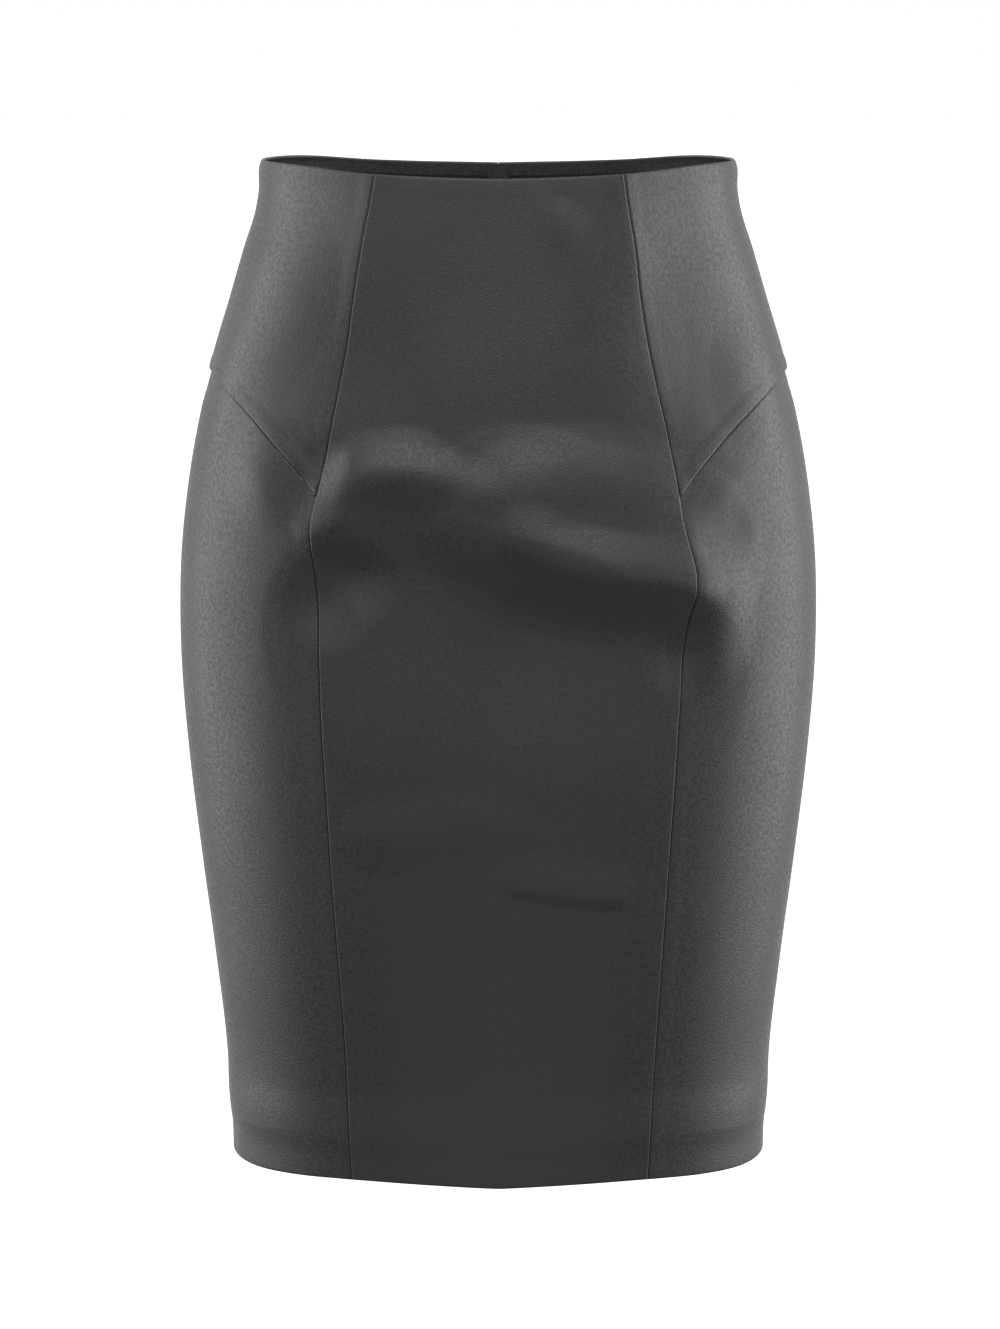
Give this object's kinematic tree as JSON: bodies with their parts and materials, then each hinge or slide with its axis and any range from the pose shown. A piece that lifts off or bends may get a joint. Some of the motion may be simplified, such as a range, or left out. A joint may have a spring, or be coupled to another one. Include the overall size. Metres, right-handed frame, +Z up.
{
  "type": "pencil skirt",
  "caption": "High-waisted knee-length pencil skirt of heavy satin, with princess seams, slanted hip yokes, a turned-up hem and a concealed zip at the back.",
  "frame": {"origin": "middle of the waist, level with where the wearer's waist holds the skirt", "axes": "+Z up, -Y towards the front, +X towards the wearer's left"},
  "size_m": [0.3546, 0.2521, 0.5564],
  "materials": {
    "satin": "satin",
    "zip_tape": "matt",
    "zip_metal": "satin enamel"
  },
  "bodies": {
    "skirt": {"front_panel": "satin", "yoke_left": "satin", "yoke_right": "satin", "side_front_left": "satin", "side_front_right": "satin", "back_left": "satin", "back_right": "satin", "zip_tape_left": "zip_tape", "zip_tape_right": "zip_tape", "zip_slider": "zip_metal"},
    "pull_tab": {"zip_pull": "zip_metal"}
  },
  "joints": [
    {"name": "pull_swing", "type": "hinge", "parent": "skirt", "child": "pull_tab", "pos_m": [0, 0.10136, -0.0145], "axis": [1, 0, 0], "range_deg": [0, 150]}
  ]
}
